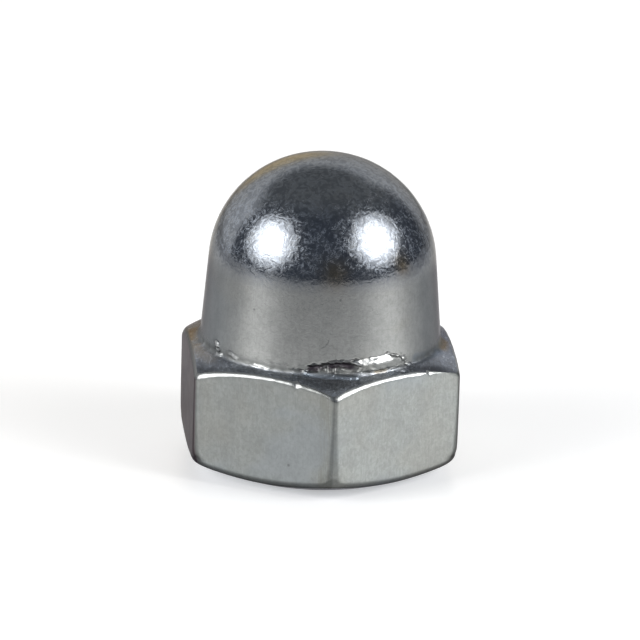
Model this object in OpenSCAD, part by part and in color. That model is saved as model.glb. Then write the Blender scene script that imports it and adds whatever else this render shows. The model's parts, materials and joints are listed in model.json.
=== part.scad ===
// Domed cap nut for a machine screw, formed from one piece of steel.
// The bearing face lies on z = 0 with its centre at the origin, and the dome points up.
// A corner of the hexagon points along -Y. All lengths are in millimetres, all angles in degrees.

/* [Hexagon] */
// Distance across the flats
across_flats = 10; // [9.6:0.1:13]
// Radius of the six upright edges
corner_radius = 0.3; // [0.2:0.05:1.2]
// Height of the dome's foot above the bearing face
hex_height = 4.75; // [3.5:0.05:6]
// Slope of the top chamfer below the level
top_chamfer = 28; // [15:1:40]
// Slope of the bottom chamfer above the level
bottom_chamfer = 22; // [10:1:35]
// Outer diameter of the flat ring that bears on the work
bearing_diameter = 8; // [7:0.1:9.4]

/* [Dome] */
// Height from the bearing face to the top of the dome
total_height = 11.85; // [10.5:0.05:14]
// Diameter of the dome's wall at its foot
foot_diameter = 9.1; // [8.4:0.05:9.4]
// Radius of the fillet between the wall and the top chamfer
foot_fillet = 0.2; // [0.1:0.05:0.4]
// Lean of the wall from the upright
wall_taper = 4.8; // [2:0.1:7]
// Radius of the spherical crown
crown_radius = 4.6; // [4.3:0.1:6]
// Angle from the axis to the rim of the spherical crown
crown_angle = 14; // [8:1:24]

/* [Thread bore] */
// Diameter across the crests of the thread
minor_diameter = 5; // [4.4:0.05:5.6]
// Depth of the bore's wall below the bearing face
bore_depth = 8.2; // [6:0.1:8.6]
// Point angle of the drilled end
drill_point = 118; // [90:1:150]
// Diameter of the countersink at the bearing face
countersink_diameter = 6.4; // [5.8:0.05:6.8]
// Depth of the countersink
countersink_depth = 0.4; // [0.2:0.05:1]

/* [Hidden] */
$fn = 96;

// Hair's breadth that an arc is larger by, so that it crosses the lines it blends into
lap = 0.002;

// Steps of the hexagon: six sides, and half a step to each side of a corner
sides = 6;
side_step = 360 / sides;
half_step = side_step / 2;
sharp_radius = across_flats / 2 / cos(half_step);

// Rounded corners: distances from the axis to an arc's centre and to its chord
corner_reach = (across_flats / 2 - corner_radius) / cos(half_step);
corner_chord = corner_reach + corner_radius * cos(half_step);

// Turned blank: wide enough to pass outside the hexagon's corners
bearing_radius = bearing_diameter / 2;
foot_radius = foot_diameter / 2;
blank_radius = sharp_radius + corner_radius;
blank_low = (blank_radius - bearing_radius) * tan(bottom_chamfer);
blank_high = hex_height - (blank_radius - foot_radius) * tan(top_chamfer);

// Crown: its rim lies at crown_angle from the axis
crown_centre = [0, total_height - crown_radius];
crown_rim = crown_centre + crown_radius * [sin(crown_angle), cos(crown_angle)];

// Shoulder: the arc that is tangent to the crown at its rim and to the leaning wall
wall_normal = [cos(wall_taper), sin(wall_taper)];
foot_point = [foot_radius, hex_height];
shoulder_radius = (foot_point - crown_rim) * wall_normal / (1 - sin(crown_angle + wall_taper));
shoulder_centre = crown_rim - shoulder_radius * [sin(crown_angle), cos(crown_angle)];
wall_top = shoulder_centre + shoulder_radius * wall_normal;

// Foot fillet: a circle outside the metal, tangent to the wall and to the top chamfer
fillet_turn = 90 - top_chamfer - wall_taper;
fillet_reach = foot_fillet * tan(fillet_turn / 2);
fillet_on_wall = foot_point + fillet_reach * [-sin(wall_taper), cos(wall_taper)];
fillet_on_chamfer = foot_point + fillet_reach * [cos(top_chamfer), -sin(top_chamfer)];
fillet_centre = fillet_on_wall + foot_fillet * wall_normal;

// Bore
minor_radius = minor_diameter / 2;
countersink_radius = countersink_diameter / 2;
countersink_flare = (countersink_radius - minor_radius) / countersink_depth;
drill_tip = bore_depth + minor_radius / tan(drill_point / 2);

// What rounding takes off one corner of the hexagonal bar, for a corner that points along +X
module corner_waste() {
    difference() {
        translate([corner_chord, -corner_radius])
            square(2 * corner_radius);
        translate([corner_reach, 0])
            circle(r = corner_radius + lap);
    }
}

// Section of the hexagonal bar with its corners rounded
module rounded_hexagon() {
    difference() {
        rotate(half_step)
            circle(r = sharp_radius, $fn = sides);
        for (k = [0:sides - 1])
            rotate(half_step + k * side_step)
                corner_waste();
    }
}

// Right half of a disc in the section, cut off upright at a distance from the axis
module half_disc(centre, radius, reach) {
    intersection() {
        translate(centre)
            circle(r = radius);
        square([reach, total_height]);
    }
}

// Half section of the turned blank, from the bearing face to the crown
module turned_section() {
    difference() {
        polygon([
            [0, 0],
            [bearing_radius, 0],
            [blank_radius, blank_low],
            [blank_radius, blank_high],
            fillet_on_chamfer,
            fillet_on_wall,
            wall_top,
            crown_rim,
            [0, crown_rim[1]],
        ]);
        translate(fillet_centre)
            circle(r = foot_fillet + lap);
    }
    half_disc(shoulder_centre, shoulder_radius + lap, blank_radius);
    half_disc(crown_centre, crown_radius, crown_rim[0]);
}

// Countersink, bore at the thread's crests and drilled end, as one cutter that starts below the nut
module bore_cutter() {
    rotate_extrude()
        polygon([
            [0, -countersink_depth],
            [countersink_radius + countersink_flare * countersink_depth, -countersink_depth],
            [minor_radius, countersink_depth],
            [minor_radius, bore_depth],
            [0, drill_tip],
        ]);
}

module cap_nut() {
    color("silver")
        difference() {
            intersection() {
                linear_extrude(height = total_height)
                    rounded_hexagon();
                rotate_extrude()
                    turned_section();
            }
            bore_cutter();
        }
}

cap_nut();
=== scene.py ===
"""Domed cap nut in bright zinc plate: a rounded dome on a chamfered hexagon, with a threaded blind bore."""

import json
import math

import bpy
import numpy as np
from mathutils import Matrix, Vector


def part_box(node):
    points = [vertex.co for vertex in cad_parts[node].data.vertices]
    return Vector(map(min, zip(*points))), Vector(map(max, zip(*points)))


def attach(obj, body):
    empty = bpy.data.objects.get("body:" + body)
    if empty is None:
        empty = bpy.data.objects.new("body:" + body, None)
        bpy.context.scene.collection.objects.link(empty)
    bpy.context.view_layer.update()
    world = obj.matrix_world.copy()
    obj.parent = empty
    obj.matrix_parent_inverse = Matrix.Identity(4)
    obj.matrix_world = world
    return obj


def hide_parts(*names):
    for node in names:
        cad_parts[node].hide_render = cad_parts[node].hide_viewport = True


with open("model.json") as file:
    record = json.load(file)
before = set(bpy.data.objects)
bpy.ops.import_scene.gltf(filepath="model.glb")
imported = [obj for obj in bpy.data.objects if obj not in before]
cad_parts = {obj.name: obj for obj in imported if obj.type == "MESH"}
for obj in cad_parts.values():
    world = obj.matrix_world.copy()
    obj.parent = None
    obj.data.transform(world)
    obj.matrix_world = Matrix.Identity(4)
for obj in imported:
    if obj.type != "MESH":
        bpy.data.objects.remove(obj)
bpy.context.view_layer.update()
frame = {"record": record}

# Sizes of the nut, in metres and radians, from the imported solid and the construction's own values
MM = 0.001
SIDES = 6
mounts = {m["name"]: m for m in frame["record"]["mounts"]}
node_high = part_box("cap_nut")[1]
HALF_FLATS = node_high.x
HEIGHT = node_high.z
HEX_HEIGHT = 4.75 * MM
TOP_CHAMFER = math.radians(28)
BOTTOM_CHAMFER = math.radians(22)
BEARING_RADIUS = 4.0 * MM
FOOT_RADIUS = 4.55 * MM
FOOT_FILLET = 0.2 * MM
WALL_TAPER = math.radians(4.8)
CROWN_RADIUS = 4.6 * MM
CROWN_ANGLE = math.radians(14)
COUNTERSINK_RADIUS = 3.2 * MM
DRILL_POINT = math.radians(118)
CREST_RADIUS = mounts["thread"]["dims"]["r_mm"] * MM
THREAD_MOUTH = mounts["thread"]["pos_m"][2]
THREAD_END = THREAD_MOUTH + mounts["thread"]["dims"]["length_mm"] * MM
THREAD_PITCH = 1.0 * MM
THREAD_DEPTH = 0.5 * MM

# Shares of the thread's pitch: one flank of a groove, and half the groove's width at the crests
THREAD_FLANK = 0.25
THREAD_HALF_GROOVE = 0.375

# Fillet at the dome's foot: the angle it turns through and half its length
FOOT_TURN = math.pi / 2 - TOP_CHAMFER - WALL_TAPER
FOOT_HALF = FOOT_FILLET * FOOT_TURN / 2

# Upright edges: the radius, the shares of it that are added lower down and at the lower end, and the
# share of the flats' height over which the addition at the lower end dies away
CORNER_ROUND = 0.3 * MM
CORNER_WIDENING = 0.7
CORNER_FLARE = 2.4
CORNER_FLARE_RISE = 0.05

# Top and bottom edges of the flats. The top edge's radius changes round the nut, by marks of (angle from
# the camera's side in degrees, half width in degrees, share of the radius that is added), within two
# limits.
TOP_EDGE = 0.25 * MM
BOTTOM_EDGE = 0.42 * MM
EDGE_MARKS = (
    (-113.6, 5.0, 1.0),
    (-49.0, 9.0, 0.25),
    (-9.3, 1.2, 0.8),
    (1.0, 5.0, -0.3),
    (11.0, 4.0, 0.3),
    (50.4, 1.3, -0.7),
    (52.6, 0.9, 0.7),
    (60.0, 5.5, -0.8),
)
EDGE_LIMITS = (0.2, 2.0)

# Crown of the top chamfer: its height, and what makes the formula's highest value 1
CHAMFER_CROWN = 0.07 * MM
CROWN_SCALE = 27 / 4

# Unevenness by kind: seed, shortest and longest wave in millimetres, and size in millimetres or as a share
UNEVENNESS = {
    "fray_across": (3, 0.12, 0.6, 0.03),
    "fray_along": (4, 0.12, 0.6, 0.022),
    "swell": (5, 0.2, 1.2, 0.006),
    "top_edge": (6, 0.25, 1.2, 0.06),
    "dull_and_shade": (8, 0.4, 2.0, 0.35),
    "crevice_shade": (9, 0.15, 0.8, 0.35),
    "flap": (10, 0.15, 0.5, 0.007),
}
WAVES = 24

# Ragged seam at the dome's foot. A stroke is a list of (angle from the camera's side in degrees, distance
# up the foot's profile in millimetres), its half width and its height in millimetres.
SEAM_STROKES = (
    (((-4.5, 0.17), (1.4, 0.25), (8.0, 0.30), (14.0, 0.27), (18.0, 0.20)), 0.15, -0.14),
    (((-10.5, 0.10), (-8.0, 0.12)), 0.05, -0.05),
    (((4.0, 0.47), (12.0, 0.50), (18.0, 0.50)), 0.045, -0.05),
    (((19.5, 0.16), (28.0, 0.20), (36.0, 0.25), (41.5, 0.10)), 0.38, 0.115),
    (((34.0, 0.60), (38.5, 0.52), (42.0, 0.38), (44.0, 0.22), (45.0, 0.08)), 0.07, -0.07),
    (((-4.0, 0.03), (7.5, -0.10), (16.5, -0.23)), 0.19, 0.045),
    (((20.0, 0.02), (27.0, -0.02), (34.0, 0.04)), 0.05, -0.07),
    (((-0.9, 0.20), (0.2, 0.20)), 0.09, 0.08),
    (((18.6, -0.02), (19.4, -0.03)), 0.09, 0.05),
    (((24.3, 0.13), (25.0, 0.12)), 0.07, 0.03),
    (((34.9, -0.02), (36.0, -0.01)), 0.08, 0.04),
    (((38.7, 0.05), (42.7, -0.02)), 0.09, 0.04),
    (((-58.8, 0.34), (-58.2, 0.28)), 0.18, 0.07),
    (((-56.6, 0.03), (-54.8, 0.01)), 0.15, 0.055),
    (((-57.2, 0.16), (-56.4, 0.15)), 0.09, -0.11),
    (((-48.0, 0.22), (-43.3, 0.10)), 0.11, 0.024),
    (((-36.6, 0.07), (-36.0, 0.07)), 0.10, 0.025),
    (((-32.0, 0.07), (-24.6, 0.02)), 0.10, 0.024),
)

# How far the seam reaches down and up the foot, the length over which it fades out below, the largest
# share of the chamfer that it takes, how steep a stroke's sides are, and the swell's middle and spread in
# millimetres
SEAM_REACH_DOWN = 0.36 * MM
SEAM_REACH_UP = 0.75 * MM
SEAM_FADE = 0.08 * MM
SEAM_CHAMFER_SHARE = 0.95
STROKE_STEEPNESS = 1.35
SWELL_MIDDLE = 0.05
SWELL_SPREAD = 0.2

# Rough flap of the seam: degrees and distances up the foot between which it rises and falls again
FLAP_ACROSS = (16, 20, 42, 45)
FLAP_ALONG = (-0.15, 0.0, 0.4, 0.6)

# Finish and painted light along the foot, in millimetres and degrees: the middle and spread of the dull band,
# which is also darkened as painted shade in the foot's crease, and how much of it is left between patches,
# the lift at which the raised seam gets a painted glint, the flap's dull part and its painted bright top, the
# lip where the glint is calmer, and the depth of a full crevice, which is painted dark as shade
FOOT_DULL_MIDDLE = 0.06
FOOT_DULL_SPREAD = 0.18
PATCHY_SHARE = 0.8
BRIGHT_LIFT_FROM = 0.012
BRIGHT_LIFT_OVER = 0.02
FLAP_DULL_ACROSS = (16, 20, 44, 47)
FLAP_DULL_SHARE = 0.8
FLAP_TOP_ALONG = (0.26, 0.4)
FLAP_TOP_ACROSS = (33, 37)
LIP_ACROSS = (-8, -5, 17, 20)
LIP_ALONG = (0.0, 0.1)
LIP_CALM = 0.85
CREVICE_DEPTH = 0.1

# Stained spots: a stroke's points and half width, as for the seam, and the stain's strength; or a place
# on the surface and the spot's size, in millimetres
WARM_STROKES = (
    (((27.0, -0.05), (32.0, -0.03)), 0.12, 1.0),
    (((80.0, -0.10), (90.0, -0.10)), 0.35, 1.0),
    (((-100.0, -0.40), (-86.0, -0.45)), 0.35, 0.8),
    (((-74.0, -0.30), (-56.0, -0.35)), 0.40, 0.35),
)
WARM_SPOTS = (
    ((0.04, -4.05, 8.55), 0.5),
    ((2.6, -3.2, 8.6), 0.35),
)
BLUE_STROKES = (
    (((-6.0, -0.05), (8.0, -0.16), (17.0, -0.26)), 0.20),
    (((52.0, 0.12), (74.0, -0.05)), 0.30),
)

# Shares round the nut, as marks of (angle from the camera's side in degrees, share) with straight lines
# between: a painted highlight on the top edge, the plate's colour on the chamfer as painted reflection, what
# painted shade takes from it in a band along the chamfer's outer side, the plate's colour on the wall as
# painted reflection, and a blue tint on the wall. The painted highlight begins at a share of the edge's turn,
# and the band fades inwards between two distances in millimetres.
EDGE_PAINTED_HIGHLIGHT = (
    (-30.0, 0.8), (-26.0, 0.6), (-11.5, 0.6), (-10.0, 0.8), (-8.5, 0.8), (-7.0, 0.25),
    (3.0, 0.25), (5.5, 0.8), (51.0, 0.8), (53.5, 0.0), (66.0, 0.0), (70.0, 0.8),
)
CHAMFER_PAINTED_LIGHT = (
    (-80.0, 0.85), (-60.0, 0.85), (-50.0, 0.65), (-41.0, 1.5), (-13.0, 2.0),
    (5.0, 1.35), (20.0, 1.6), (41.0, 0.95), (58.0, 0.55), (70.0, 0.9),
)
CHAMFER_PAINTED_SHADE = (
    (-64.0, 0.0), (-57.0, 0.45), (-32.0, 0.35), (-22.0, 0.0),
    (36.0, 0.0), (46.0, 0.5), (60.0, 0.5), (68.0, 0.0),
)
WALL_PAINTED_LIGHT = (
    (-100.0, 1.0), (-82.0, 1.3), (-72.0, 1.05), (-61.0, 0.74), (-46.0, 0.88),
    (-34.0, 1.1), (-14.0, 1.0), (8.0, 0.98), (32.0, 1.24), (40.0, 1.18),
    (50.0, 0.92), (61.0, 0.77), (72.0, 1.02), (82.0, 1.25), (100.0, 1.0),
)
WALL_BLUES = (
    (-84.0, 0.2), (-60.0, 0.4), (-40.0, 0.0),
    (44.0, 0.0), (62.0, 0.35), (84.0, 0.2),
)
EDGE_HIGHLIGHT_FROM = 0.3
BAND_INWARDS = (0.28, 0.55)

# Share of the plate's colour on each flat, which paints each flat's reflection lighter or darker, by the
# flat's direction in steps of a sixth turn from +X, and the middle and half width in degrees of the one flat
# with a purple tint, painted for its purplish reflection
FLAT_PAINTED_LIGHT = np.array([1.02, 0.94, 0.99, 0.55, 0.83, 1.1])
PURPLE_MIDDLE = -83.58
PURPLE_HALF = 30

# Painted shade on the rounded lower edge of the flats: its rise, what is added to it at a corner and over
# what width, and its blur, all in millimetres, and the share of the colour that it takes
LOW_SHADE_RISE = 0.17
LOW_SHADE_CORNER = 0.2
LOW_SHADE_WIDTH = 0.24
LOW_SHADE_BLUR = 0.06
LOW_SHADE_SHARE = 0.55

# Band of painted shade along the upright edges: its half width, what is added to it downwards, the height
# and the length of that growth and its power, and its blur inwards and outwards, in millimetres, and its
# share
BAND_WIDTH = 0.10
BAND_GROWTH = 0.16
BAND_GROWTH_BELOW = 3.4
BAND_GROWTH_LENGTH = 2.8
BAND_GROWTH_POWER = 1.5
BAND_BLUR_IN = 0.06
BAND_BLUR_OUT = 0.04
CORNER_SHADE_SHARE = 0.32

# Specks and one hooked scratch in the plate: places on the surface, sizes and widths in millimetres
WALL_SPECKS = ((-2.855, -3.28, 6.893), (0.231, -4.289, 7.55), (-1.598, -4.851, 1.297))
SPECK_SIZE = (0.03, 0.07)
HOOK_CENTRE = (-0.55, -4.41, 6.1)
HOOK_RADIUS = 0.38
HOOK_WIDTH = 0.035
HOOK_PLACE = (-0.25, -4.43, 5.83)
HOOK_REACH = (0.15, 0.32)

# Drawn strip beside the corner that faces the camera: the way along the left flat from that corner, and the
# distances from the corner in millimetres over which the strip begins and ends
STRIP_WAY = (-math.cos(math.pi / SIDES), math.sin(math.pi / SIDES), 0)
STRIP_START = (0.1, 0.2)
STRIP_END = (0.62, 0.64)

# Patterns in the plate: how a place in millimetres is stretched, and the scale, detail, distortion and
# roughness of the noise there. The turned rings are a noise of the distance from the axis.
PATTERNS = {
    "grain": ((1, 1, 1), 3.2, 1.6, 1.6, 0.5),
    "fine": ((1, 1, 1), 9.0, 2.0, 0.8, 0.5),
    "patches": ((1, 1, 1), 6.0, 2.0, 1.0, 0.6),
    "curl": ((1, 1, 1), 3.0, 2.0, 2.2, 0.5),
    "streaks": ((16, 16, 0.7), 1.0, 3.0, 0.3, 0.5),
    "drawn": ((26, 26, 0.9), 1.0, 2.0, 0.2, 0.5),
    "mottle": ((1, 1, 1), 1.3, 4.0, 0.4, 0.6),
    "speckle": ((1, 1, 0.6), 8.0, 3.0, 0.6, 0.6),
    "cloud": ((1, 1, 1), 0.35, 2.0, 0.5, 0.5),
    "scuffs": ((7, 3, 9), 1.0, 3.0, 2.0, 0.5),
}
RINGS = (14.0, 3.0, 0.0, 0.5)

# Curled strokes on the dome: half width in the curl's value, values of the grain over which they stop,
# heights in millimetres over which they begin and over which they fade, and the share that is left above
STROKE_WIDTH = 0.10
STROKE_GAPS = (0.42, 0.62)
STROKES_BEGIN = (8.1, 8.8)
STROKES_FADE = (9.8, 11.2)
STROKES_LEFT = 0.4

# Heights in millimetres over which the wall's finish becomes the dome's, and distances down the foot over
# which it becomes the chamfer's
DOME_BEGINS = (7.6, 8.5)
CHAMFER_BEGINS = (-0.08, 0.12)

# Relief of the plate: zone, pattern, and the pattern's height in millimetres. The body is all but the dome.
RELIEF = (
    ("dome", "grain", 0.0075),
    ("dome", "fine", 0.0015),
    ("body", "streaks", 0.003),
    ("body", "patches", 0.003),
    ("flat", "drawn", 0.0015),
    ("flat", "speckle", 0.005),
    ("chamfer", "rings", 0.004),
    ("chamfer", "scuffs", 0.016),
)

# Shares stored at the mesh's vertices, four to a name at most
STORED_SHARES = {
    "zones": ("dome", "flat", "chamfer", "bore"),
    # Painted shade in the crevice, two stains, and the share of painted light and shade
    "stains_and_painted_light": ("crevice_shade", "blue", "warm", "painted_light"),
    # Dull band also darkened as painted shade, painted glint, and a purple tint painted on one flat for its
    # reflection
    "seam": ("dull_and_shade", "painted_glint", "purple"),
}

# Masks made from a pattern: the pattern, the values between which it sets in, and the zone that it is
# kept to. The round zone is the body without the flats.
PATTERN_MASKS = {
    "mottling": ("mottle", 0.38, 0.72, "all"),
    "dome_grain": ("grain", 0.42, 0.60, "dome"),
    "flat_speckle": ("speckle", 0.40, 0.62, "flat"),
    "drawn_lines": ("drawn", 0.50, 0.74, "all"),
    "body_cloud": ("cloud", 0.52, 0.68, "body"),
    "round_streaks": ("streaks", 0.48, 0.74, "round"),
    "body_patches": ("patches", 0.42, 0.66, "body"),
    "drawn_strip": ("drawn", 0.40, 0.60, "strip"),
    "flat_cloud": ("cloud", 0.50, 0.36, "flat"),
    "chamfer_scuffs": ("scuffs", 0.54, 0.68, "chamfer"),
}

# Colours laid over the plate, one after another: mask, share and colour
PLATE_COLOUR = (0.305, 0.310, 0.300, 1)
COLOUR_LAYERS = (
    ("dome", 1.0, (0.275, 0.290, 0.310, 1)),
    ("flat", 1.0, (0.305, 0.320, 0.308, 1)),
    ("chamfer", 1.0, (0.41, 0.44, 0.49, 1)),
    ("bore", 1.0, (0.30, 0.30, 0.29, 1)),
    ("mottling", 0.30, (0.22, 0.225, 0.22, 1)),
    ("dome_grain", 0.50, (0.13, 0.145, 0.17, 1)),
    ("dome_strokes", 0.45, (0.42, 0.47, 0.55, 1)),
    ("flat_speckle", 0.32, (0.20, 0.21, 0.205, 1)),
    ("drawn_lines", 0.16, (0.44, 0.45, 0.43, 1)),
    ("body_cloud", 0.12, (0.32, 0.28, 0.21, 1)),
    ("round_streaks", 0.35, (0.23, 0.235, 0.23, 1)),
    ("body_patches", 0.35, (0.21, 0.215, 0.205, 1)),
    ("drawn_strip", 0.45, (0.21, 0.21, 0.18, 1)),
    # Purple tint painted on one flat for its reflection
    ("purple", 0.50, (0.32, 0.255, 0.28, 1)),
    ("flat_cloud", 0.30, (0.27, 0.30, 0.33, 1)),
    ("chamfer_scuffs", 0.60, (0.72, 0.77, 0.84, 1)),
    ("blue", 0.55, (0.20, 0.25, 0.31, 1)),
    ("warm", 0.60, (0.34, 0.25, 0.12, 1)),
    # Dull band also darkened as painted shade in the foot's crease, a painted glint on the raised seam and
    # the top edges, and painted shade in the crevice
    ("dull_and_shade", 0.75, (0.15, 0.155, 0.15, 1)),
    ("painted_glint", 0.70, (0.60, 0.61, 0.60, 1)),
    ("crevice_shade", 1.0, (0.065, 0.055, 0.065, 1)),
    ("marks", 0.60, (0.12, 0.12, 0.12, 1)),
)

# Colour of the metal seen at a grazing angle, on the body and on the dome
BODY_GRAZING = (0.30, 0.287, 0.297, 1)
DOME_GRAZING = (0.55, 0.53, 0.50, 1)

# Roughness of the plate, of the dome by the value of its patches, of the strokes on it, of the zones over
# that, and what the mottling adds by its value
PLATE_ROUGHNESS = 0.22
DOME_PATCHES = (0.34, 0.66)
DOME_ROUGHNESS = (0.20, 0.09)
STROKE_ROUGHNESS = 0.30
ROUGHNESS_LAYERS = (
    ("flat", 0.33),
    ("chamfer", 0.22),
    ("dull_and_shade", 0.55),
    ("painted_glint", 0.30),
    ("crevice_shade", 0.50),
)
MOTTLE_VALUES = (0.3, 0.7)
MOTTLE_ROUGHNESS = (-0.02, 0.04)

# Grid: columns at each corner and along each flat, half the angle of a corner's columns, the rows of each
# stretch of the profile, and the shares of the flats' height that they have rows at
CORNER_COLUMNS = 14
FLAT_COLUMNS = 64
CORNER_SPREAD = math.radians(3.4)
ROWS = {
    "drilled_end": 4,
    "thread": 60,
    "countersink": 4,
    "bearing_ring": 3,
    "bottom_chamfer": 6,
    "bottom_edge": 8,
    "plain_edge": 3,
    "bright_edge": 5,
    "top_chamfer": 10,
    "seam": 44,
    "wall": 8,
    "shoulder": 34,
    "crown": 8,
}
FLAT_RISES = (0, 0.02, 0.045, 0.075, 0.11, 0.16, 0.25, 0.42, 0.62, 0.82, 0.975)

# Size of the last ring before each pole, as a share of the bore's radius and of the crown's angle
DRILL_RING = 0.1
CROWN_RING = 1 / 12

# Zones of the profile, and the distance along the foot, in millimetres, given to rows that are away from it
BORE, FLAT, CHAMFER, WALL, DOME, EDGE = range(6)
OFF_FOOT = 9.0

# Camera, from the picture's perspective: angles are about the nut, lengths in metres, the lens in
# millimetres
CAMERA_AZIMUTH = math.radians(-6.42)
CAMERA_ELEVATION = math.radians(18.0)
CAMERA_ROLL = math.radians(1.63)
CAMERA_DISTANCE = 250.5 * MM
CAMERA_LENS = 374.0
CAMERA_SENSOR = 36.0
CAMERA_NEAR = 0.01
CAMERA_FAR = 10.0
AIM_RIGHT = -0.043 * MM
AIM_UP = -0.514 * MM

# Floor: a disc whose middle lies behind the nut, and a pale patch on it that is narrowed sideways, in
# metres
FLOOR_CORNERS = 96
FLOOR_RADIUS = 0.6
FLOOR_BACK = 0.46
PALE_BACK = 0.02
PALE_NARROWING = 1.35
FLOOR_PALE_TO = 0.05
FLOOR_GREY_FROM = 0.08
FLOOR_PALE = (0.72, 0.72, 0.72, 1)
FLOOR_GREY = (0.50, 0.50, 0.51, 1)
FLOOR_GLOW = 0.36
FLOOR_ROUGHNESS = 0.38

# Lamps: name, angles in degrees from the camera's side and above the level, and strength. Each lamp is a
# set of ovals of (share of the size in metres, radiance).
LAMP_DISTANCE = 0.25
LAMP_WIDTH = 0.176
LAMP_HEIGHT = 0.150
LAMP_RINGS = ((0.68, 7.4), (1.07, 3.2), (1.5, 1.4))
LAMPS = (
    ("left_softbox", -62.2, 27.8, 0.96),
    ("right_softbox", 67.2, 30.6, 1.03),
)

# Room that the metal reflects. A direction is an angle from the camera's side and one above the level, in
# degrees. A patch adds the angles from its direction at which it begins and is full. The wall behind the
# nut fades out over three edges, each between two cosines of the angle from the edge's direction.
ROOM_COLOUR = (0.11, 0.125, 0.153, 1)
ROOM_ABOVE = (0.215, 0.225, 0.235, 1)
ROOM_BEHIND = (0.90, 0.91, 0.93, 1)
ROOM_WARM = (1.25, 1.05, 0.72, 1)
ABOVE_PATCH = (180, 60, 60, 26)
WARM_PATCH = (-168, 11, 17, 6)
BEHIND_EDGES = (
    (-75, 86, 0.51, 0.76),
    (-18, 0, -0.06, 0.06),
    (46, 6, -0.08, 0.08),
)


def smooth(value, low, high):
    """0 below the low value, 1 above the high one and a smooth step between them."""
    share = np.clip((value - low) / (high - low), 0, 1)
    return share * share * (3 - 2 * share)


def window(value, low, low_end, high, high_end):
    """1 from the end of the low step to the start of the high one, and a smooth step to 0 on either
    side."""
    return smooth(value, low, low_end) * (1 - smooth(value, high, high_end))


def bell(value, middle, spread):
    """Bell curve: e to the minus square of the distance from the middle over the spread."""
    return np.exp(-((value - middle) / spread) ** 2)


def column_angles():
    """Angles of the grid's columns: each side of the hexagon has closely spaced columns over its rounded
    corner and even ones along its flat, and the six sides repeat the same steps."""
    step = 2 * math.pi / SIDES
    corner = np.linspace(-CORNER_SPREAD, CORNER_SPREAD, CORNER_COLUMNS, endpoint=False)
    flat = np.linspace(CORNER_SPREAD, step - CORNER_SPREAD, FLAT_COLUMNS, endpoint=False)
    side = np.concatenate([corner, flat])
    first_corner = math.pi / SIDES
    return (first_corner + np.arange(SIDES)[:, None] * step + side[None, :]).ravel()


def corner_offset(angle):
    """Angle from the nearest corner of the hexagon, at every column."""
    step = 2 * math.pi / SIDES
    return angle % step - step / 2


def camera_degrees(angle):
    """Angles about the axis, in degrees from the camera's side, which is -Y before the camera's own
    angle: positive to the picture's right, from -180 to 180."""
    return (np.degrees(angle - CAMERA_AZIMUTH) + 90 + 180) % 360 - 180


def foot_across(degrees):
    """Distance round the dome's foot from the camera's side, in millimetres: the angle times the radius."""
    return np.radians(degrees) * FOOT_RADIUS / MM


def by_angle(angle, marks):
    """Share at every angle about the axis, on straight lines between marks of (degrees from the camera's
    side, share)."""
    return np.interp(camera_degrees(angle), [m[0] for m in marks], [m[1] for m in marks])


def hexagon_reach(angle, rounding):
    """Distance from the axis to the rounded hexagon along each angle: a flat's straight line, or nearer a
    corner the far crossing of the ray with the circle that is tangent to both flats."""
    turn = corner_offset(angle)
    flat = HALF_FLATS / np.cos(math.pi / SIDES - np.abs(turn))
    reach = (HALF_FLATS - rounding) / math.cos(math.pi / SIDES)
    under = np.maximum(rounding**2 - (reach * np.sin(turn)) ** 2, 0)
    rounded = reach * np.cos(turn) + np.sqrt(under)
    tangent = np.arctan2(rounding / 2, reach + rounding * math.cos(math.pi / SIDES))
    return np.where(np.abs(turn) < tangent, rounded, flat)


def corner_rounding(rise):
    """Radius of the upright edges by the share of the height up the flats: the plain value at the top, a
    little larger lower down and flaring out at the lower end."""
    widening = CORNER_WIDENING * (1 - rise) ** 2
    flare = CORNER_FLARE * np.exp(-rise / CORNER_FLARE_RISE)
    return CORNER_ROUND * (1 + widening + flare)


def unevenness(kind, angle, along):
    """Smooth seeded unevenness round the foot: a sum of cosine waves with random directions, lengths
    between the shortest and the longest and a whole number of turns, scaled to a spread of its kind's
    size."""
    seed, shortest, longest, size = UNEVENNESS[kind]
    rng = np.random.default_rng(seed)
    length = shortest * (longest / shortest) ** rng.random(WAVES)
    way = rng.random(WAVES) * math.pi
    phase = rng.random(WAVES) * 2 * math.pi
    turns = np.round(2 * math.pi * np.cos(way) / length * FOOT_RADIUS / MM)
    climb = 2 * math.pi * np.sin(way) / length
    total = sum(np.cos(t * angle + c * along + p) for t, c, p in zip(turns, climb, phase))
    return size * (total * math.sqrt(2 / WAVES))


def steps(start, end, count):
    """Rows that run evenly from the start towards the end, which is left for the next stretch to begin
    with."""
    share = np.linspace(0, 1, count, endpoint=False)[:, None]
    return np.asarray(start) * (1 - share) + np.asarray(end) * share


def line(start, end, count):
    """Straight stretch of profile between two (radius, height) points, as count rows."""
    return steps(start[0], end[0], count), steps(start[1], end[1], count)


def arc(centre, radius, first, last, count):
    """Round stretch of profile: centre plus radius times (cosine, sine) of an angle that runs from first to
    last, as count rows."""
    turn = np.linspace(first, last, count, endpoint=False)[:, None]
    return centre[0] + radius * np.cos(turn), centre[1] + radius * np.sin(turn)


def crowned(radius, height):
    """Stretch of profile with the slight crown of the top chamfer over its plain cone, by the radius:
    none at the dome's foot and at a corner, and as the square of the way out times the way left between
    them."""
    way = np.clip((radius - FOOT_RADIUS) / (HALF_FLATS / math.cos(math.pi / SIDES) - FOOT_RADIUS), 0, 1)
    return radius, height + CHAMFER_CROWN * CROWN_SCALE * way**2 * (1 - way)


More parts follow.
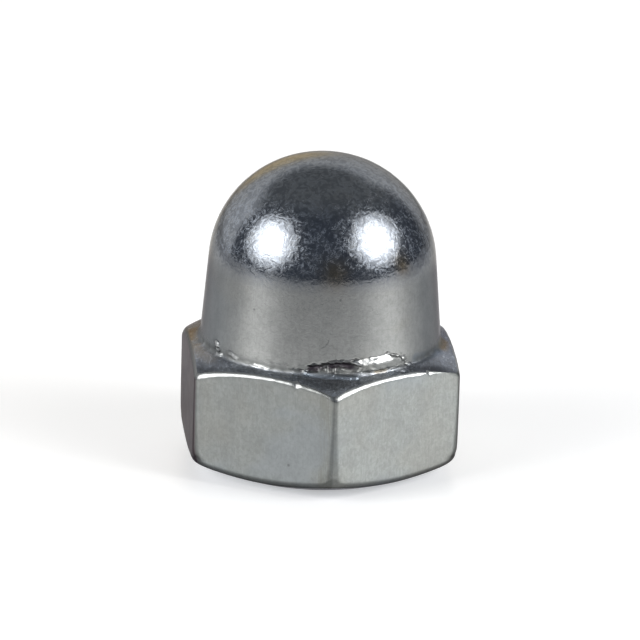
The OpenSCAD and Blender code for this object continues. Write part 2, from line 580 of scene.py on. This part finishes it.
def thread_wall(angle):
    """Wall of the bore with a right-hand thread: the radius grows from the crests by a trapezoid wave of
    the height less the pitch times the turn, and fades to the plain radius at the drilled end."""
    height = np.linspace(THREAD_END, THREAD_MOUTH, ROWS["thread"], endpoint=False)[:, None]
    phase = (height / THREAD_PITCH - angle[None, :] / (2 * math.pi)) % 1.0
    wave = np.clip((THREAD_HALF_GROOVE - np.abs(phase - 0.5)) / THREAD_FLANK, 0, 1)
    fade = np.clip((THREAD_END - height) / THREAD_PITCH, 0, 1)
    return CREST_RADIUS + THREAD_DEPTH * wave * fade, np.broadcast_to(height, wave.shape)


def shoulder_arc():
    """Centre and radius of the shoulder's arc, which is tangent to the crown at its rim and to the leaning
    wall: its radius follows from the foot's distance to the rim along the wall's normal."""
    rim_way = np.array([math.sin(CROWN_ANGLE), math.cos(CROWN_ANGLE)])
    rim = np.array([0, HEIGHT - CROWN_RADIUS]) + CROWN_RADIUS * rim_way
    normal = np.array([math.cos(WALL_TAPER), math.sin(WALL_TAPER)])
    foot = np.array([FOOT_RADIUS, HEX_HEIGHT])
    radius = (foot - rim) @ normal / (1 - math.sin(CROWN_ANGLE + WALL_TAPER))
    return rim - radius * rim_way, radius


def foot_path(along):
    """Points and normals of the profile through the dome's foot, by the distance along it from the middle
    of the foot's fillet: outwards down the chamfer where it is negative and up the wall where it is
    positive."""
    reach = FOOT_FILLET * math.tan(FOOT_TURN / 2)
    centre_r = FOOT_RADIUS - reach * math.sin(WALL_TAPER) + FOOT_FILLET * math.cos(WALL_TAPER)
    centre_z = HEX_HEIGHT + reach * math.cos(WALL_TAPER) + FOOT_FILLET * math.sin(WALL_TAPER)
    lean = WALL_TAPER + FOOT_TURN * np.clip((FOOT_HALF - along) / (2 * FOOT_HALF), 0, 1)
    down = np.maximum(-FOOT_HALF - along, 0)
    up = np.maximum(along - FOOT_HALF, 0)
    normal_r, normal_z = np.cos(lean), np.sin(lean)
    radius = centre_r - FOOT_FILLET * normal_r + down * math.cos(TOP_CHAMFER) - up * math.sin(WALL_TAPER)
    height = centre_z - FOOT_FILLET * normal_z - down * math.sin(TOP_CHAMFER) + up * math.cos(WALL_TAPER)
    return radius, height, normal_r, normal_z


def stroke(across, along, points, half_width):
    """Strength of a stroke at every place: 1 near the line through its points, falling evenly to 0 at half
    its width from the nearest place on that line."""
    line_across = foot_across([p[0] for p in points])
    line_along = np.array([p[1] for p in points])
    nearest = np.full(np.broadcast(across, along).shape, np.inf)
    for k in range(len(points) - 1):
        step_across = line_across[k + 1] - line_across[k]
        step_along = line_along[k + 1] - line_along[k]
        share = (across - line_across[k]) * step_across + (along - line_along[k]) * step_along
        share = np.clip(share / (step_across**2 + step_along**2), 0, 1)
        gap_across = across - line_across[k] - share * step_across
        gap_along = along - line_along[k] - share * step_along
        nearest = np.minimum(nearest, np.hypot(gap_across, gap_along))
    return np.clip(STROKE_STEEPNESS * (1 - nearest / half_width), 0, 1)


def seam_height(angle, along):
    """Height of the ragged seam over the foot, in metres: a low uneven swell along the foot and an uneven
    flap, plus each stroke times its height, with the strokes' places moved a little to fray every
    outline. It fades out at the lower end."""
    mm = along / MM
    degrees = camera_degrees(angle)
    frayed_across = foot_across(degrees) + unevenness("fray_across", angle, mm)
    frayed_along = mm + unevenness("fray_along", angle, mm)
    flap = window(degrees, *FLAP_ACROSS) * window(mm, *FLAP_ALONG)
    height = bell(mm, SWELL_MIDDLE, SWELL_SPREAD) * unevenness("swell", angle, mm)
    height = height + flap * unevenness("flap", angle, mm)
    for points, half_width, tall in SEAM_STROKES:
        height = height + tall * stroke(frayed_across, frayed_along, points, half_width)
    fade = np.clip((along + SEAM_REACH_DOWN) / SEAM_FADE, 0, 1)
    return height * fade * MM


def edge_radius(angle):
    """Radius of the top edge at every column: its plain value, changed by marks that fall off as a bell and
    by a slight unevenness."""
    degrees = camera_degrees(angle)
    change = unevenness("top_edge", angle, 0.0)
    for middle, half_width, share in EDGE_MARKS:
        change = change + share * bell(degrees, middle, half_width)
    return TOP_EDGE * np.clip(1 + change, *EDGE_LIMITS)


def nut_profile(angle):
    """Grid rows of the nut at every column angle, from the drilled end through the bore, round the
    hexagon's lower edge, up the flats, over the chamfer and the foot, and up the dome. Gives radius,
    height, the zone of every row, distance along the foot and lift of the seam in millimetres, and the
    height of the bore's tip."""
    tip = THREAD_END + CREST_RADIUS / math.tan(DRILL_POINT / 2)
    drill_ring = (CREST_RADIUS * DRILL_RING, tip - (tip - THREAD_END) * DRILL_RING)

    rise = np.array(FLAT_RISES)[:, None]
    flat_reach = hexagon_reach(angle, corner_rounding(rise))
    low_reach = flat_reach[0]
    low_turn = math.pi / 2 - BOTTOM_CHAMFER
    low_edge = (low_reach - BEARING_RADIUS) * math.tan(BOTTOM_CHAMFER) + BOTTOM_EDGE * math.tan(low_turn / 2)
    low_centre = (low_reach - BOTTOM_EDGE, low_edge)
    low_start = (
        low_centre[0] + BOTTOM_EDGE * math.cos(low_turn),
        low_centre[1] - BOTTOM_EDGE * math.sin(low_turn),
    )

    reach = hexagon_reach(angle, CORNER_ROUND)
    rounding = edge_radius(angle)
    top_turn = math.pi / 2 - TOP_CHAMFER
    top_edge = HEX_HEIGHT - (reach - FOOT_RADIUS) * math.tan(TOP_CHAMFER) - rounding * math.tan(top_turn / 2)
    top_centre = (reach - rounding, top_edge)
    top_end = top_centre[0] + rounding * math.cos(top_turn)
    bright_turn = EDGE_HIGHLIGHT_FROM * top_turn

    fillet_end = foot_path(np.array(-FOOT_HALF))[0]
    chamfer_out = FOOT_HALF + (top_end - fillet_end) / math.cos(TOP_CHAMFER)
    seam_out = np.minimum(SEAM_REACH_DOWN, chamfer_out * SEAM_CHAMFER_SHARE)
    outer = steps(-chamfer_out, -seam_out, ROWS["top_chamfer"])
    inner = steps(-seam_out, SEAM_REACH_UP, ROWS["seam"])
    foot_radius, foot_height, normal_r, normal_z = foot_path(inner)
    bump = seam_height(angle, inner)

    wall_start = foot_path(np.array(SEAM_REACH_UP))[:2]
    shoulder, bend = shoulder_arc()
    wall_end = (shoulder[0] + bend * math.cos(WALL_TAPER), shoulder[1] + bend * math.sin(WALL_TAPER))
    crown = (0.0, HEIGHT - CROWN_RADIUS)
    rim_turn = math.pi / 2 - CROWN_ANGLE
    last_turn = math.pi / 2 - CROWN_ANGLE * CROWN_RING

    below = [
        (BORE, line(drill_ring, (CREST_RADIUS, THREAD_END), ROWS["drilled_end"])),
        (BORE, thread_wall(angle)),
        (BORE, line((CREST_RADIUS, THREAD_MOUTH), (COUNTERSINK_RADIUS, 0.0), ROWS["countersink"])),
        (CHAMFER, line((COUNTERSINK_RADIUS, 0.0), (BEARING_RADIUS, 0.0), ROWS["bearing_ring"])),
        (CHAMFER, line((BEARING_RADIUS, 0.0), low_start, ROWS["bottom_chamfer"])),
        (FLAT, arc(low_centre, BOTTOM_EDGE, -low_turn, 0.0, ROWS["bottom_edge"])),
        (FLAT, (flat_reach, low_edge * (1 - rise) + top_edge * rise)),
        (FLAT, crowned(*arc(top_centre, rounding, 0.0, bright_turn, ROWS["plain_edge"]))),
        (EDGE, crowned(*arc(top_centre, rounding, bright_turn, top_turn, ROWS["bright_edge"]))),
    ]
    foot = [
        (CHAMFER, crowned(*foot_path(outer)[:2])),
        (WALL, crowned(foot_radius + bump * normal_r, foot_height + bump * normal_z)),
    ]
    above = [
        (WALL, line(wall_start, wall_end, ROWS["wall"])),
        (DOME, arc(shoulder, bend, WALL_TAPER, rim_turn, ROWS["shoulder"])),
        (DOME, arc(crown, CROWN_RADIUS, rim_turn, last_turn, ROWS["crown"])),
    ]
    stretches = below + foot + above
    radius = np.concatenate([np.broadcast_to(r, (len(r), len(angle))) for _, (r, _) in stretches])
    height = np.concatenate([np.broadcast_to(z, (len(z), len(angle))) for _, (_, z) in stretches])
    zone = np.concatenate([np.full(len(r), kind) for kind, (r, _) in stretches])

    first = sum(len(r) for _, (r, _) in below)
    middle = first + len(outer)
    last = middle + len(inner)
    along = np.full(radius.shape, OFF_FOOT)
    along[first:middle] = outer / MM
    along[middle:last] = inner / MM
    lift = np.zeros_like(along)
    lift[middle:last] = bump / MM
    return radius, height, zone, along, lift, tip


def painted_light_on_flats(angle, radius, height, on_flat):
    """Painted light on the flats: the share of the plate's colour that is left, at every vertex. Each flat
    has its own share as a painted reflection, the rounded lower edge has painted shade, more so near a
    corner, and a band of painted shade that widens downwards follows each upright edge."""
    side = np.floor((angle % (2 * math.pi)) / (2 * math.pi / SIDES) + 0.5).astype(int) % SIDES
    share = np.where(on_flat, FLAT_PAINTED_LIGHT[side], 1.0)
    tangent = np.abs(np.sin(corner_offset(angle))) * radius / MM
    low = (hexagon_reach(angle, corner_rounding(0.0)) - BEARING_RADIUS) / MM * math.tan(BOTTOM_CHAMFER)
    # Painted shade on the rounded lower edge and in a band beside each upright edge
    shade_to = low + LOW_SHADE_RISE + LOW_SHADE_CORNER * bell(tangent, 0.0, LOW_SHADE_WIDTH)
    dull_and_shade = 1 - smooth(height / MM - shade_to, -LOW_SHADE_BLUR, LOW_SHADE_BLUR)
    growth = np.clip((BAND_GROWTH_BELOW - height / MM) / BAND_GROWTH_LENGTH, 0, 1) ** BAND_GROWTH_POWER
    band = BAND_WIDTH + BAND_GROWTH * growth
    corner = 1 - smooth(tangent, band - BAND_BLUR_IN, band + BAND_BLUR_OUT)
    return share * (1 - (LOW_SHADE_SHARE * dull_and_shade + CORNER_SHADE_SHARE * corner * (1 - dull_and_shade)) * on_flat)


def foot_finish(angle, along, lift):
    """Shares of dull plate along the foot, darkened there as painted shade in the crease, and of a painted
    glint on the seam's raised places, at every vertex: the flap is dull up to its painted bright top, and the
    lip glints less."""
    degrees = camera_degrees(angle)
    patchy = np.clip(PATCHY_SHARE + unevenness("dull_and_shade", angle, along), 0, 1)
    dull_and_shade = bell(along, FOOT_DULL_MIDDLE, FOOT_DULL_SPREAD) * patchy
    raised = np.clip((lift - BRIGHT_LIFT_FROM) / BRIGHT_LIFT_OVER, 0, 1)
    flap_top = smooth(along, *FLAP_TOP_ALONG) * (1 - smooth(degrees, *FLAP_TOP_ACROSS))
    flap = window(degrees, *FLAP_DULL_ACROSS) * (1 - flap_top)
    lip = window(degrees, *LIP_ACROSS) * (1 - smooth(along, *LIP_ALONG))
    painted_glint = raised * (1 - flap) * (1 - LIP_CALM * lip)
    dull_and_shade = np.maximum(dull_and_shade, FLAP_DULL_SHARE * raised * flap)
    return dull_and_shade * (1 - painted_glint), painted_glint


def stains(angle, along, x, y, height):
    """Shares of blue and of warm stain at every vertex: the strongest of the strokes along the foot, and
    for the warm one also of spots that fall off as a bell round a place."""
    across = foot_across(camera_degrees(angle))
    blue = np.max([stroke(across, along, p, w) for p, w in BLUE_STROKES], 0)
    warm = np.max([s * stroke(across, along, p, w) for p, w, s in WARM_STROKES], 0)
    for spot, size in WARM_SPOTS:
        gap = (x / MM - spot[0]) ** 2 + (y / MM - spot[1]) ** 2 + (height / MM - spot[2]) ** 2
        warm = np.maximum(warm, np.exp(-gap / size**2))
    return blue, warm


def paint(mesh, name, shares, first_pole, last_pole):
    """Stores four shares at every vertex of the mesh, as a named colour: the grid's, then those of the two
    poles."""
    values = np.concatenate([np.stack(shares, -1).reshape(-1, 4), [first_pole, last_pole]])
    layer = mesh.attributes.new(name, "FLOAT_COLOR", "POINT")
    layer.data.foreach_set("color", values.astype(np.float32).ravel())


def closed_mesh(name, x, y, z, first_pole, last_pole):
    """Mesh of a grid that closes round its columns and ends in a point at each end: quads join neighbouring
    rows, and a fan of triangles joins the first and the last row to its pole."""
    rows, columns = x.shape
    points = np.concatenate([np.stack([x, y, z], -1).reshape(-1, 3), [first_pole, last_pole]])
    index = np.arange(rows * columns).reshape(rows, columns)
    ahead = np.roll(index, -1, 1)
    quads = np.stack([index[:-1], ahead[:-1], ahead[1:], index[1:]], -1).reshape(-1, 4)
    low_fan = np.stack([np.full(columns, rows * columns), ahead[0], index[0]], -1)
    high_fan = np.stack([np.full(columns, rows * columns + 1), index[-1], ahead[-1]], -1)
    corners = np.concatenate([quads.ravel(), low_fan.ravel(), high_fan.ravel()])
    sizes = np.concatenate([np.full(len(quads), 4), np.full(2 * columns, 3)])
    starts = np.concatenate([[0], np.cumsum(sizes)[:-1]])
    mesh = bpy.data.meshes.new(name)
    mesh.vertices.add(len(points))
    mesh.vertices.foreach_set("co", points.astype(np.float32).ravel())
    mesh.loops.add(len(corners))
    mesh.loops.foreach_set("vertex_index", corners.astype(np.int32))
    mesh.polygons.add(len(sizes))
    mesh.polygons.foreach_set("loop_start", starts.astype(np.int32))
    mesh.polygons.foreach_set("use_smooth", np.ones(len(sizes), bool))
    mesh.update(calc_edges=True)
    mesh.validate()
    return mesh


def make_nut():
    """The whole nut as one closed grid of rows and columns, with the shares of its zones, its stains and
    painted light and shade, and its seam's finish and painted glints stored at the vertices under the names
    and in the order of STORED_SHARES."""
    angle = column_angles()
    radius, height, zone, along, lift, tip = nut_profile(angle)
    x = radius * np.cos(angle)
    y = radius * np.sin(angle)
    mesh = closed_mesh("cap_nut_skin", x, y, height, (0, 0, tip), (0, 0, HEIGHT))
    kind = np.broadcast_to(zone[:, None], x.shape)
    on_flat = (kind == FLAT) | (kind == EDGE)
    above_foot = (kind == WALL) | (kind == DOME)

    dome = smooth(height / MM, *DOME_BEGINS) * above_foot
    chamfer = np.maximum((kind == CHAMFER) * 1.0, (kind == WALL) * smooth(-along, *CHAMFER_BEGINS))
    zones = (dome, on_flat * 1.0, chamfer, (kind == BORE) * 1.0)

    wall = above_foot * (1 - dome) * (1 - chamfer)
    top_chamfer = chamfer * (height > HEX_HEIGHT / 2)
    inwards = (hexagon_reach(angle, CORNER_ROUND) - radius) / MM
    outer_band = top_chamfer * (1 - smooth(inwards, *BAND_INWARDS))
    # Painted light: shares of the plate's colour that stand in for reflections and shade on the flats, the
    # chamfer and the wall
    painted_light = painted_light_on_flats(angle, radius, height, on_flat)
    painted_light = painted_light * (1 + (by_angle(angle, CHAMFER_PAINTED_LIGHT) - 1) * top_chamfer)
    painted_light = painted_light * (1 - by_angle(angle, CHAMFER_PAINTED_SHADE) * outer_band)
    painted_light = painted_light * (1 + (by_angle(angle, WALL_PAINTED_LIGHT) - 1) * wall)
    blue, warm = stains(angle, along, x, y, height)
    blue = np.maximum(blue, by_angle(angle, WALL_BLUES) * wall)
    # Painted shade in the seam's sunken places, darker the deeper they are
    patchy = np.clip(PATCHY_SHARE + unevenness("crevice_shade", angle, along), 0, 1)
    crevice_shade = np.clip(-lift / CREVICE_DEPTH, 0, 1) * patchy

    dull_and_shade, painted_glint = foot_finish(angle, along, lift)
    # Painted highlight along the top edges, laid with the seam's painted glint
    painted_glint = np.maximum(painted_glint, (kind == EDGE) * by_angle(angle, EDGE_PAINTED_HIGHLIGHT))
    # Purple tint painted on the flat at the picture's left for its purplish reflection
    purple = (kind == FLAT) * (np.abs(camera_degrees(angle) - PURPLE_MIDDLE) < PURPLE_HALF)

    paint(mesh, "zones", zones, (0, 0, 0, 1), (1, 0, 0, 0))
    paint(mesh, "stains_and_painted_light", (crevice_shade, blue, warm, painted_light), (0, 0, 0, 1), (0, 0, 0, 1))
    paint(mesh, "seam", (dull_and_shade, painted_glint, purple * 1.0, np.ones_like(dull_and_shade)), (0, 0, 0, 1), (0, 0, 0, 1))
    nut = bpy.data.objects.new("cap_nut_skin", mesh)
    bpy.context.scene.collection.objects.link(nut)
    return nut


class Nodes:
    """Short ways to add nodes to one material or world and to join them."""

    def __init__(self, owner):
        owner.use_nodes = True
        self.tree = owner.node_tree

    def add(self, kind, sockets=(), **settings):
        """New node with its settings; a socket's value is set, or linked when it is another node's output."""
        node = self.tree.nodes.new(kind)
        for name, value in settings.items():
            setattr(node, name, value)
        for name, value in dict(sockets).items():
            if isinstance(value, bpy.types.NodeSocket):
                self.tree.links.new(value, node.inputs[name])
            else:
                node.inputs[name].default_value = value
        return node

    def stored(self, name, labels):
        """Shares stored at the vertices under a name, by their labels."""
        colour = self.add("ShaderNodeAttribute", attribute_name=name).outputs
        parts = self.add("ShaderNodeSeparateColor", {"Color": colour["Color"]}).outputs
        return dict(zip(labels, (parts["Red"], parts["Green"], parts["Blue"], colour["Alpha"])))

    def noise(self, place, scale, detail, distortion, roughness):
        """Noise value at a place."""
        sockets = {"Vector": place, "Scale": scale, "Detail": detail}
        sockets.update({"Distortion": distortion, "Roughness": roughness})
        return self.add("ShaderNodeTexNoise", sockets).outputs["Fac"]

    def number(self, operation, first, second=0.0):
        """Result of an operation on two numbers."""
        return self.add("ShaderNodeMath", {0: first, 1: second}, operation=operation).outputs[0]

    def plus(self, first, second):
        """Sum of two numbers."""
        return self.number("ADD", first, second)

    def minus(self, first, second):
        """Difference of two numbers."""
        return self.number("SUBTRACT", first, second)

    def times(self, first, second):
        """Product of two numbers."""
        return self.number("MULTIPLY", first, second)

    def centred(self, value):
        """Noise value moved to a mean of about 0."""
        return self.minus(value, 0.5)

    def vector(self, operation, first, second, output):
        """Result of an operation on two vectors, from the named output."""
        return self.add("ShaderNodeVectorMath", {0: first, 1: second}, operation=operation).outputs[output]

    def stretch(self, place, times):
        """Place with each of its coordinates multiplied."""
        return self.vector("MULTIPLY", place, times, "Vector")

    def distance(self, place, centre):
        """Distance of a place from a centre."""
        return self.vector("DISTANCE", place, centre, "Value")

    def dot(self, place, way):
        """Length of a place or direction along a way."""
        return self.vector("DOT_PRODUCT", place, way, "Value")

    def ramp(self, value, low, high, start=0.0, end=1.0):
        """Number that runs smoothly from start to end while the value runs from low to high."""
        sockets = {"Value": value, "From Min": low, "From Max": high, "To Min": start, "To Max": end}
        return self.add("ShaderNodeMapRange", sockets, interpolation_type="SMOOTHSTEP").outputs["Result"]

    def spot(self, place, centre, inner, outer):
        """1 within the inner distance from a centre and 0 beyond the outer one."""
        return self.ramp(self.distance(place, centre), inner, outer, 1.0, 0.0)

    def mix(self, share, first, second):
        """Colour that goes from the first to the second by the share."""
        return self.add("ShaderNodeMix", {0: share, 6: first, 7: second}, data_type="RGBA").outputs[2]

    def blend(self, share, first, second):
        """Number that goes from the first to the second by the share."""
        return self.add("ShaderNodeMix", {0: share, 2: first, 3: second}, data_type="FLOAT").outputs[0]

    def patch(self, direction, azimuth, elevation, outer, inner):
        """1 within the inner angle from a direction and 0 beyond the outer one, all angles in degrees."""
        way = toward(math.radians(azimuth), math.radians(elevation))
        limits = (math.cos(math.radians(outer)), math.cos(math.radians(inner)))
        return self.ramp(self.dot(direction, way), *limits)


def plate_patterns(n, place):
    """Noise value of every pattern in the plate, at a place in millimetres."""
    patterns = {}
    for name, (times, *values) in PATTERNS.items():
        patterns[name] = n.noise(n.stretch(place, times), *values)
    out = n.distance(n.stretch(place, (1, 1, 0)), (0, 0, 0))
    patterns["rings"] = n.noise(n.add("ShaderNodeCombineXYZ", {"X": out}).outputs[0], *RINGS)
    return patterns


def dome_strokes(n, place, patterns):
    """Curled strokes: thin lines where the curl's value crosses its mean, broken by the grain, which
    begin at the dome's foot and fade towards its top."""
    height = n.add("ShaderNodeSeparateXYZ", {"Vector": place}).outputs["Z"]
    off_line = n.number("ABSOLUTE", n.centred(patterns["curl"]))
    strokes = n.ramp(off_line, 0.0, STROKE_WIDTH, 1.0, 0.0)
    strokes = n.times(strokes, n.ramp(patterns["grain"], *STROKE_GAPS, 1.0, 0.0))
    strokes = n.times(strokes, n.ramp(height, *STROKES_FADE, 1.0, STROKES_LEFT))
    return n.times(strokes, n.ramp(height, *STROKES_BEGIN))


def surface_marks(n, place):
    """Specks, and a hooked scratch that is a part of a thin ring."""
    off_ring = n.number("ABSOLUTE", n.minus(n.distance(place, HOOK_CENTRE), HOOK_RADIUS))
    hook = n.ramp(off_ring, 0.0, HOOK_WIDTH, 1.0, 0.0)
    marks = n.times(hook, n.spot(place, HOOK_PLACE, *HOOK_REACH))
    for speck in WALL_SPECKS:
        marks = n.number("MAXIMUM", marks, n.spot(place, speck, *SPECK_SIZE))
    return marks


def zinc_material():
    """Bright zinc plate: grainy on the dome, drawn upright on the wall and the flats, and turned and
    scuffed on the chamfer, with mottling and stains, painted reflections and shade round the nut, a painted
    glint on the seam's burr and the top edges, and painted shade in the seam's crevice. Masks say
    where each colour and roughness is laid, and each zone has its patterns as relief."""
    material = bpy.data.materials.new("zinc_plate")
    n = Nodes(material)
    shader = n.tree.nodes["Principled BSDF"]
    metres = n.add("ShaderNodeTexCoord").outputs["Object"]
    place = n.stretch(metres, (1 / MM, 1 / MM, 1 / MM))
    patterns = plate_patterns(n, place)
    strokes = dome_strokes(n, place, patterns)

    masks = {"all": 1.0}
    for name, labels in STORED_SHARES.items():
        masks.update(n.stored(name, labels))
    masks["body"] = n.minus(1.0, masks["dome"])
    masks["round"] = n.minus(masks["body"], masks["flat"])
    masks["dome_strokes"] = n.times(strokes, masks["dome"])
    masks["marks"] = surface_marks(n, place)
    from_corner = n.plus(n.dot(place, STRIP_WAY), HALF_FLATS / MM * math.tan(math.pi / SIDES))
    strip = n.times(n.ramp(from_corner, *STRIP_START), n.ramp(from_corner, *STRIP_END, 1.0, 0.0))
    masks["strip"] = n.times(strip, masks["flat"])
    for name, (pattern, low, high, zone) in PATTERN_MASKS.items():
        masks[name] = n.times(n.ramp(patterns[pattern], low, high), masks[zone])

    bumps = 0.0
    for zone, pattern, tall in RELIEF:
        bumps = n.plus(bumps, n.times(n.times(n.centred(patterns[pattern]), tall), masks[zone]))
    relief = n.add("ShaderNodeBump", {"Height": bumps, "Distance": MM, "Strength": 1.0})

    colour = PLATE_COLOUR
    for mask, share, tint in COLOUR_LAYERS:
        colour = n.mix(n.times(masks[mask], share), colour, tint)
    # The colour is scaled by the painted light and shade stored at the vertices
    toned = n.add("ShaderNodeVectorMath", {0: colour, "Scale": masks["painted_light"]}, operation="SCALE")

    ragged = n.ramp(patterns["patches"], *DOME_PATCHES, *DOME_ROUGHNESS)
    rough = n.blend(masks["dome"], PLATE_ROUGHNESS, n.blend(strokes, ragged, STROKE_ROUGHNESS))
    for mask, value in ROUGHNESS_LAYERS:
        rough = n.blend(masks[mask], rough, value)
    rough = n.plus(rough, n.ramp(patterns["mottle"], *MOTTLE_VALUES, *MOTTLE_ROUGHNESS))

    n.tree.links.new(toned.outputs["Vector"], shader.inputs["Base Color"])
    n.tree.links.new(rough, shader.inputs["Roughness"])
    n.tree.links.new(relief.outputs[0], shader.inputs["Normal"])
    n.tree.links.new(n.mix(masks["dome"], BODY_GRAZING, DOME_GRAZING), shader.inputs["Specular Tint"])
    shader.inputs["Metallic"].default_value = 1.0
    return material


def toward(azimuth, elevation):
    """Unit vector from the nut: azimuth is measured from the camera's side, positive to the picture's
    right."""
    turn = CAMERA_AZIMUTH + azimuth
    level = math.cos(elevation)
    return Vector((math.sin(turn) * level, -math.cos(turn) * level, math.sin(elevation)))


def make_floor():
    """Pale satin floor, a flat disc that is palest round the nut and clear when seen from below. A faint
    glow for what is seen directly or in a mirror lifts it to white, and the nut's shadow stays on it."""
    away = toward(math.pi, 0.0)
    turn = np.linspace(0, 2 * math.pi, FLOOR_CORNERS, endpoint=False)
    rim = np.stack([np.cos(turn), np.sin(turn), np.zeros_like(turn)], -1)
    rim = rim * FLOOR_RADIUS + np.array(away * FLOOR_BACK)
    mesh = bpy.data.meshes.new("floor")
    mesh.from_pydata(rim.tolist(), [], [list(range(len(turn)))])
    floor = bpy.data.objects.new("floor", mesh)
    bpy.context.scene.collection.objects.link(floor)
    material = bpy.data.materials.new("pale_floor")
    n = Nodes(material)
    paper = n.tree.nodes["Principled BSDF"]
    final = n.tree.nodes["Material Output"]
    metres = n.add("ShaderNodeTexCoord").outputs["Object"]
    narrowed = n.stretch(metres, (PALE_NARROWING, 1, 1))
    far = n.ramp(n.distance(narrowed, away * PALE_BACK), FLOOR_PALE_TO, FLOOR_GREY_FROM)
    path = n.add("ShaderNodeLightPath").outputs
    seen = n.plus(n.plus(path["Is Camera Ray"], path["Is Glossy Ray"]), path["Is Transmission Ray"])
    glow = n.times(n.number("MINIMUM", seen, 1.0), n.blend(far, FLOOR_GLOW, 0.0))
    n.tree.links.new(n.mix(far, FLOOR_PALE, FLOOR_GREY), paper.inputs["Base Color"])
    n.tree.links.new(glow, paper.inputs["Emission Strength"])
    paper.inputs["Emission Color"].default_value = (1, 1, 1, 1)
    paper.inputs["Roughness"].default_value = FLOOR_ROUGHNESS
    clear = n.add("ShaderNodeBsdfTransparent")
    below = n.add("ShaderNodeNewGeometry").outputs["Backfacing"]
    mix = n.add("ShaderNodeMixShader", {0: below, 1: paper.outputs[0], 2: clear.outputs[0]})
    n.tree.links.new(mix.outputs[0], final.inputs["Surface"])
    material.cycles.emission_sampling = "NONE"
    mesh.materials.append(material)
    return floor


def make_softbox(name, azimuth, elevation, strength):
    """Soft oval lamp that faces the nut and is brightest in its middle: ovals of growing size lie on one
    another, each with its own radiance. An oval's power is its radiance times pi times its area."""
    away = toward(azimuth, elevation)
    centre = Vector((0, 0, HEIGHT / 2))
    turn = away.to_track_quat("Z", "Y").to_matrix().to_4x4()
    for share, radiance in LAMP_RINGS:
        light = bpy.data.lights.new(name, "AREA")
        light.shape = "ELLIPSE"
        light.size = LAMP_WIDTH * share
        light.size_y = LAMP_HEIGHT * share
        light.energy = strength * radiance * math.pi * (math.pi / 4 * light.size * light.size_y)
        lamp = bpy.data.objects.new(name, light)
        lamp.matrix_world = Matrix.Translation(centre + away * LAMP_DISTANCE) @ turn
        lamp.visible_camera = False
        bpy.context.scene.collection.objects.link(lamp)


def make_world():
    """Dim cool room with a paler patch high behind the nut, a bright wall behind it and a small warm
    patch on that wall, all by direction. The wall is the product of three smooth edges: its top, its left
    and its right one."""
    world = bpy.data.worlds.new("room")
    bpy.context.scene.world = world
    n = Nodes(world)
    back = n.tree.nodes["Background"]
    direction = n.add("ShaderNodeTexCoord").outputs["Generated"]
    wall = 1.0
    for azimuth, elevation, low, high in BEHIND_EDGES:
        way = toward(math.radians(azimuth), math.radians(elevation))
        wall = n.times(wall, n.ramp(n.dot(direction, way), low, high, 1.0, 0.0))
    colour = n.mix(n.patch(direction, *ABOVE_PATCH), ROOM_COLOUR, ROOM_ABOVE)
    colour = n.mix(wall, colour, ROOM_BEHIND)
    colour = n.mix(n.patch(direction, *WARM_PATCH), colour, ROOM_WARM)
    n.tree.links.new(colour, back.inputs["Color"])
    return world


def make_camera():
    """Camera at the picture's viewing angle, rolled with the picture."""
    data = bpy.data.cameras.new("camera")
    data.lens = CAMERA_LENS
    data.sensor_width = CAMERA_SENSOR
    data.clip_start = CAMERA_NEAR
    data.clip_end = CAMERA_FAR
    camera = bpy.data.objects.new("camera", data)
    back = toward(0.0, CAMERA_ELEVATION)
    turn = back.to_track_quat("Z", "Y").to_matrix() @ Matrix.Rotation(CAMERA_ROLL, 3, "Z")
    aim = Vector((0, 0, HEIGHT / 2)) + turn @ Vector((AIM_RIGHT, AIM_UP, 0))
    camera.matrix_world = Matrix.Translation(aim + back * CAMERA_DISTANCE) @ turn.to_4x4()
    bpy.context.scene.collection.objects.link(camera)
    bpy.context.scene.camera = camera
    return camera


nut = make_nut()
nut.data.materials.append(zinc_material())
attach(nut, "root")
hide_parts("cap_nut")
make_floor()
make_world()
for lamp_name, lamp_azimuth, lamp_elevation, strength in LAMPS:
    make_softbox(lamp_name, math.radians(lamp_azimuth), math.radians(lamp_elevation), strength)
make_camera()
bpy.context.scene.view_settings.view_transform = "Standard"
